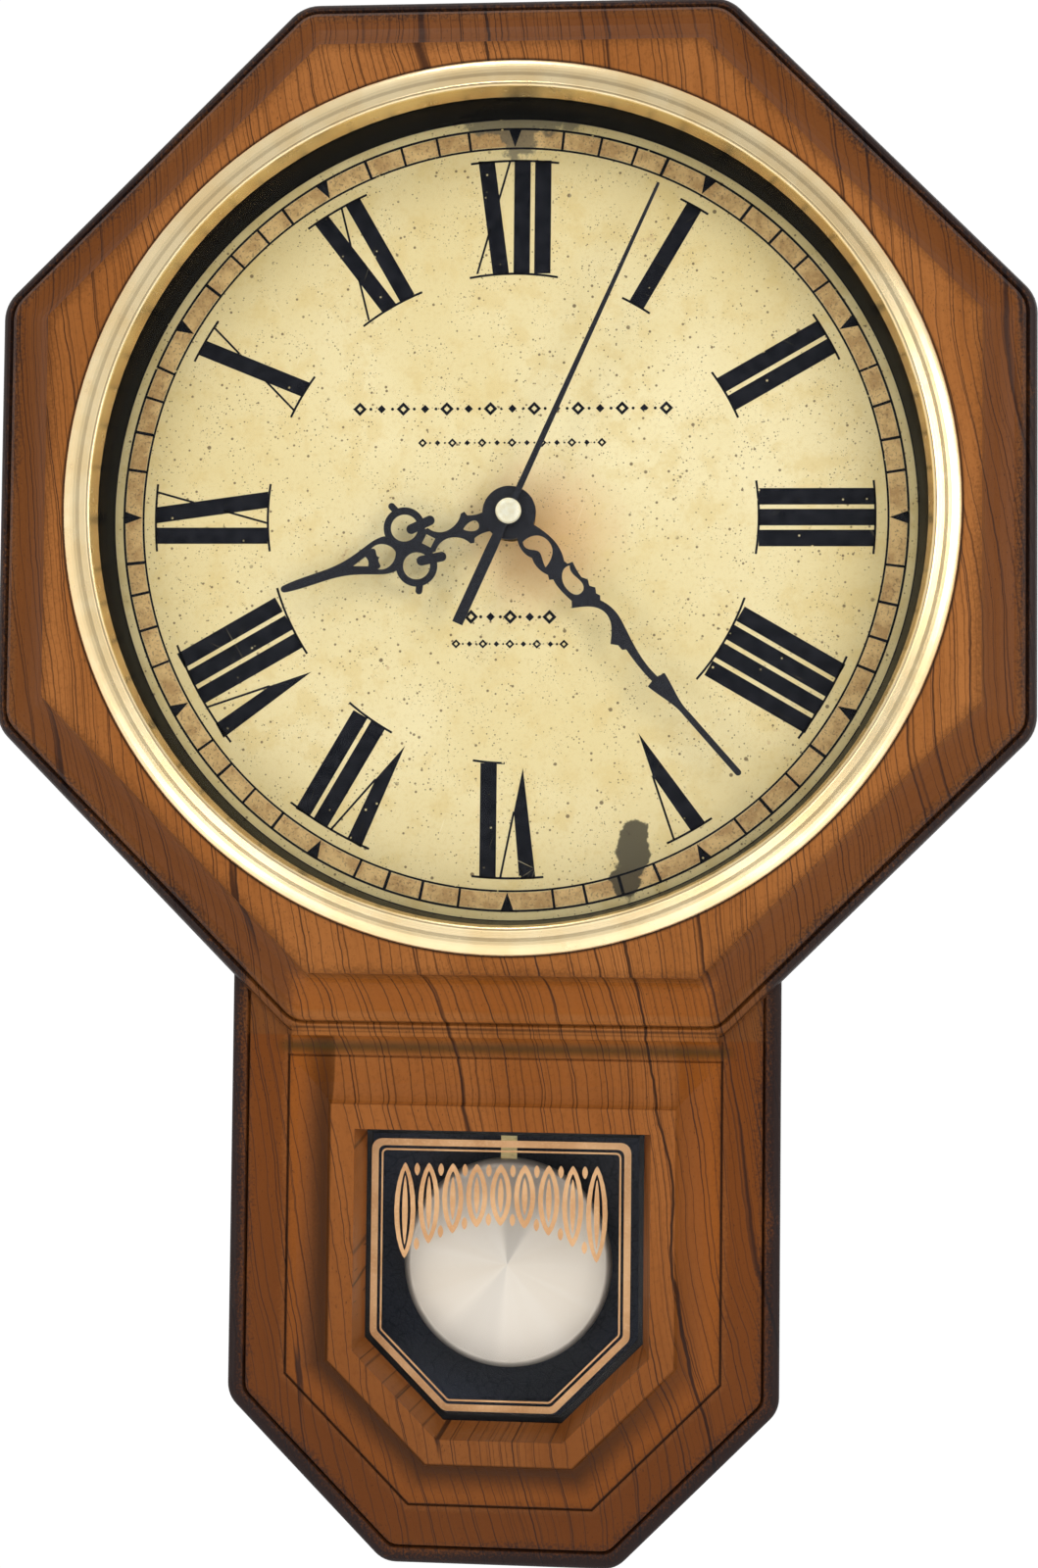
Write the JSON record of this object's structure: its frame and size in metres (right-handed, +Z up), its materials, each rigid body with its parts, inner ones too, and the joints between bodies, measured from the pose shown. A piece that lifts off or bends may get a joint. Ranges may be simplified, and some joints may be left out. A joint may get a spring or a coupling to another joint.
{
  "type": "wall clock",
  "caption": "Octagonal schoolhouse wall clock with a round dial, serpentine hands and a pendulum drop with a glazed window.",
  "frame": {"origin": "the point on the wall behind the dial centre", "axes": "+Z up, -Y out of the wall into the room, +X to the right as seen from the front"},
  "size_m": [0.315, 0.0683, 0.4723],
  "materials": {
    "case_wood": "satin, printed wood grain",
    "back_board": "fine matt",
    "zinc_screws": "zinc plated",
    "zinc_plate": "zinc plated",
    "gold_plate": "polished gold plate",
    "clear_lens": "clear",
    "black_gloss": "glossy black",
    "dial_paper": "aged printed paper on metal",
    "window_pane": "clear with a printed border",
    "black_plastic": "matt",
    "grained_sheet": "leather-grained vinyl",
    "movement_plastic": "fine matt",
    "rubber_ring": "matt",
    "brass_fitting": "satin",
    "battery_jacket": "printed jacket",
    "board_green": "solder mask",
    "copper_winding": "enamelled copper wire",
    "gear_plastic": "moulded",
    "hand_black": "satin black",
    "cap_brass": "pale satin",
    "rod_brass": "satin",
    "magnet_grey": "plated",
    "bob_metal": "spun champagne"
  },
  "bodies": {
    "case": {"case_front": "case_wood", "back_panel": "back_board", "back_screws": "zinc_screws", "hanger_plate": "zinc_plate", "hanger_screws": "zinc_screws", "dial_bezel": "gold_plate", "dial_lens": "clear_lens", "spacer_ring": "black_gloss", "dial_plate": "dial_paper", "dial_screws": "zinc_screws", "window_glass": "window_pane", "glass_retainer": "black_plastic", "retainer_screws": "zinc_screws", "backing_sheet": "grained_sheet", "movement_front_shell": "movement_plastic", "movement_rear_shell": "movement_plastic", "train_plate": "movement_plastic", "movement_gasket": "rubber_ring", "dial_washer": "brass_fitting", "dial_nut": "brass_fitting", "battery": "battery_jacket", "battery_contacts": "zinc_plate", "circuit_board": "board_green", "quartz_crystal": "zinc_plate", "motor_coil": "copper_winding", "motor_stator": "zinc_plate", "pendulum_coil": "copper_winding", "pendulum_pivot_pin": "zinc_screws"},
    "rotor": {"rotor": "gear_plastic"},
    "intermediate": {"intermediate_wheel": "gear_plastic"},
    "seconds": {"second_wheel": "gear_plastic", "second_hand": "hand_black", "hand_cap": "cap_brass"},
    "third": {"third_wheel": "gear_plastic"},
    "minutes": {"centre_wheel": "gear_plastic", "minute_hand": "hand_black"},
    "motion": {"minute_wheel": "gear_plastic"},
    "hours": {"hour_wheel": "gear_plastic", "hour_hand": "hand_black"},
    "setting": {"setting_knob": "gear_plastic"},
    "pendulum": {"pendulum_arm": "gear_plastic", "arm_magnet": "magnet_grey", "pendulum_rod": "rod_brass", "pendulum_bob": "bob_metal"}
  },
  "joints": [
    {"name": "second_hand_spin", "type": "hinge", "parent": "case", "child": "seconds", "pos_m": [0, -0.04, 0], "axis": [0, 1, 0], "continuous": true},
    {"name": "rotor_spin", "type": "hinge", "parent": "case", "child": "rotor", "pos_m": [-0.01554, -0.024, 0.00594], "axis": [0, 1, 0], "continuous": true},
    {"name": "intermediate_spin", "type": "hinge", "parent": "case", "child": "intermediate", "pos_m": [-0.0096, -0.024, 0], "axis": [0, 1, 0], "continuous": true},
    {"name": "third_spin", "type": "hinge", "parent": "case", "child": "third", "pos_m": [0, -0.034, 0.01224], "axis": [0, 1, 0], "continuous": true},
    {"name": "minute_hand_spin", "type": "hinge", "parent": "case", "child": "minutes", "pos_m": [0, -0.045, 0], "axis": [0, 1, 0], "continuous": true},
    {"name": "motion_wheel_spin", "type": "hinge", "parent": "case", "child": "motion", "pos_m": [0, -0.037, -0.0096], "axis": [0, 1, 0], "continuous": true},
    {"name": "hour_hand_spin", "type": "hinge", "parent": "case", "child": "hours", "pos_m": [0, -0.045, 0], "axis": [0, 1, 0], "continuous": true},
    {"name": "setting_knob_spin", "type": "hinge", "parent": "case", "child": "setting", "pos_m": [0.00617, -0.02, -0.01695], "axis": [0, 1, 0], "continuous": true},
    {"name": "pendulum_swing", "type": "hinge", "parent": "case", "child": "pendulum", "pos_m": [0, -0.0252, -0.049], "axis": [0, 1, 0], "range_deg": [-6, 6]}
  ],
  "couplings": [
    {"joint": "rotor_spin", "follows": "second_hand_spin", "ratio": 30},
    {"joint": "intermediate_spin", "follows": "second_hand_spin", "ratio": -5},
    {"joint": "third_spin", "follows": "second_hand_spin", "ratio": -0.13333},
    {"joint": "minute_hand_spin", "follows": "second_hand_spin", "ratio": 0.016667},
    {"joint": "motion_wheel_spin", "follows": "second_hand_spin", "ratio": -0.0055556},
    {"joint": "hour_hand_spin", "follows": "second_hand_spin", "ratio": 0.0013889},
    {"joint": "setting_knob_spin", "follows": "second_hand_spin", "ratio": 0.016667}
  ]
}
